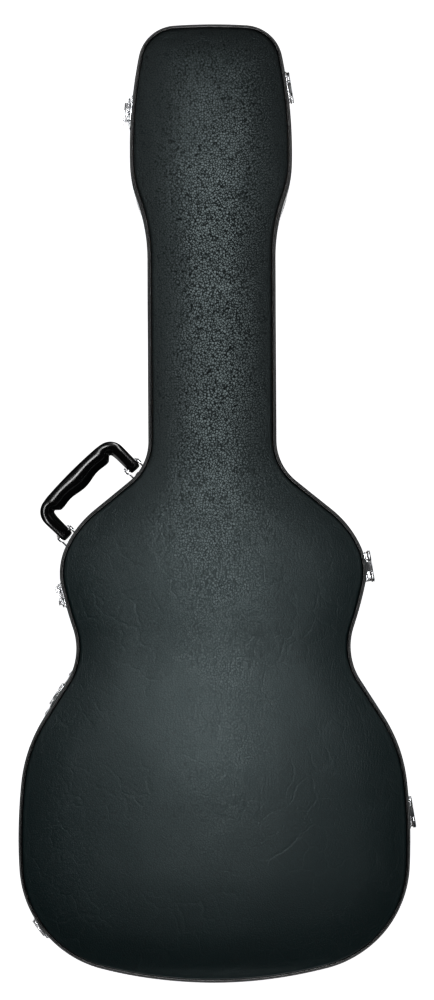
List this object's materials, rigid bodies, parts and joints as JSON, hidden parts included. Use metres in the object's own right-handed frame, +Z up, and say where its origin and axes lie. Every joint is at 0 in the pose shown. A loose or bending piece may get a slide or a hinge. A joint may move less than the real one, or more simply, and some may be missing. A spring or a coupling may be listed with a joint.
{
  "type": "guitar case",
  "caption": "Hard guitar case in textured black vinyl with a crowned hinged lid, draw latches, a hasp lock, a swinging handle and a plush-lined inside with an accessory compartment.",
  "frame": {"origin": "under the middle of the case, on the surface that its back lies on", "axes": "+X to the hinge side, +Y to the headstock end, +Z up through the lid"},
  "size_m": [0.4572, 1.0936, 0.152],
  "materials": {
    "vinyl": "textured matte",
    "piping": "satin",
    "plywood": "raw",
    "valance": "satin",
    "plush": "short pile",
    "pull_tab": "satin",
    "handle_plastic": "semi-gloss",
    "plated_steel": "polished"
  },
  "bodies": {
    "bottom": {"back_covering": "vinyl", "back_lining": "plush", "back_panel": "plywood", "compartment_front_wall": "plush", "compartment_rear_wall": "plush", "handle_bracket_front": "plated_steel", "handle_bracket_rear": "plated_steel", "handle_pins": "plated_steel", "head_pad": "plush", "hinge_lower_leaf_1": "plated_steel", "hinge_lower_leaf_2": "plated_steel", "hinge_lower_leaf_3": "plated_steel", "hinge_pins": "plated_steel", "latch_base_1": "plated_steel", "latch_base_2": "plated_steel", "latch_base_3": "plated_steel", "latch_pins": "plated_steel", "lock_plate": "plated_steel", "lower_piping": "piping", "lower_rivets": "plated_steel", "lower_side_covering": "vinyl", "lower_side_lining": "plush", "lower_side_wall": "plywood", "lower_valance": "valance", "neck_cradle": "plush", "tail_pad": "plush", "waist_pad_left": "plush", "waist_pad_right": "plush"},
    "lid": {"hasp_pin": "plated_steel", "hasp_plate": "plated_steel", "hinge_upper_leaf_1": "plated_steel", "hinge_upper_leaf_2": "plated_steel", "hinge_upper_leaf_3": "plated_steel", "latch_catch_1": "plated_steel", "latch_catch_2": "plated_steel", "latch_catch_3": "plated_steel", "lid_lining": "plush", "lid_piping": "piping", "lid_rivets": "plated_steel", "lid_side_covering": "vinyl", "lid_side_lining": "plush", "lid_side_wall": "plywood", "lid_tongue": "valance", "lid_top_covering": "vinyl", "lid_top_panel": "plywood", "lid_valance": "valance"},
    "latch_lever_1": {"latch_lever_1": "plated_steel"},
    "latch_bail_1": {"latch_bail_1": "plated_steel"},
    "latch_lever_2": {"latch_lever_2": "plated_steel"},
    "latch_bail_2": {"latch_bail_2": "plated_steel"},
    "latch_lever_3": {"latch_lever_3": "plated_steel"},
    "latch_bail_3": {"latch_bail_3": "plated_steel"},
    "handle": {"handle_grip": "handle_plastic"},
    "hasp": {"hasp": "plated_steel"},
    "lock_button": {"lock_button": "plated_steel"},
    "lock_cylinder": {"lock_cylinder": "plated_steel"},
    "compartment_lid": {"compartment_lid": "plush", "compartment_pull_tab": "pull_tab"}
  },
  "joints": [
    {"name": "lid_hinge", "type": "hinge", "parent": "bottom", "child": "lid", "pos_m": [0.0916, 0.478, 0.1], "axis": [-0.1612, 0.9869, 0], "range_deg": [0, 100]},
    {"name": "latch_lever_1_lift", "type": "hinge", "parent": "bottom", "child": "latch_lever_1", "pos_m": [-0.09615, 0.45256, 0.084], "axis": [0.0929, 0.9957, 0], "range_deg": [0, 100]},
    {"name": "latch_bail_1_swing", "type": "hinge", "parent": "latch_lever_1", "child": "latch_bail_1", "pos_m": [-0.09436, 0.45239, 0.072], "axis": [0.0929, 0.9957, 0], "range_deg": [-130, 0]},
    {"name": "latch_lever_2_lift", "type": "hinge", "parent": "bottom", "child": "latch_lever_2", "pos_m": [-0.17661, -0.10539, 0.084], "axis": [-0.2323, 0.9726, 0], "range_deg": [0, 100]},
    {"name": "latch_bail_2_swing", "type": "hinge", "parent": "latch_lever_2", "child": "latch_bail_2", "pos_m": [-0.17486, -0.10498, 0.072], "axis": [-0.2323, 0.9726, 0], "range_deg": [-130, 0]},
    {"name": "latch_lever_3_lift", "type": "hinge", "parent": "bottom", "child": "latch_lever_3", "pos_m": [-0.20134, -0.48864, 0.084], "axis": [-0.6073, 0.7945, 0], "range_deg": [0, 100]},
    {"name": "latch_bail_3_swing", "type": "hinge", "parent": "latch_lever_3", "child": "latch_bail_3", "pos_m": [-0.19991, -0.48755, 0.072], "axis": [-0.6073, 0.7945, 0], "range_deg": [-130, 0]},
    {"name": "hasp_lift", "type": "hinge", "parent": "lid", "child": "hasp", "pos_m": [-0.18064, -0.2175, 0.106], "axis": [0.5373, 0.8434, 0], "range_deg": [0, 165]},
    {"name": "lock_key_turn", "type": "hinge", "parent": "bottom", "child": "lock_cylinder", "pos_m": [-0.17828, -0.219, 0.074], "axis": [-0.8434, 0.5373, 0], "range_deg": [0, 90]},
    {"name": "lock_button_slide", "type": "slide", "parent": "bottom", "child": "lock_button", "axis": [-0.5373, -0.8434, 0], "range_m": [0, 0.006], "stiffness_N_per_m": 60},
    {"name": "handle_swing", "type": "hinge", "parent": "bottom", "child": "handle", "pos_m": [-0.13277, 0.00464, 0.06], "axis": [0.7108, 0.7034, 0], "range_deg": [-70, 70]},
    {"name": "compartment_lid_hinge", "type": "hinge", "parent": "bottom", "child": "compartment_lid", "pos_m": [0, 0.19, 0.0523], "axis": [-1, 0, 0], "range_deg": [0, 95]}
  ],
  "couplings": [
    {"joint": "latch_bail_1_swing", "follows": "latch_lever_1_lift", "ratio": -1.3},
    {"joint": "latch_bail_2_swing", "follows": "latch_lever_2_lift", "ratio": -1.3},
    {"joint": "latch_bail_3_swing", "follows": "latch_lever_3_lift", "ratio": -1.3}
  ]
}
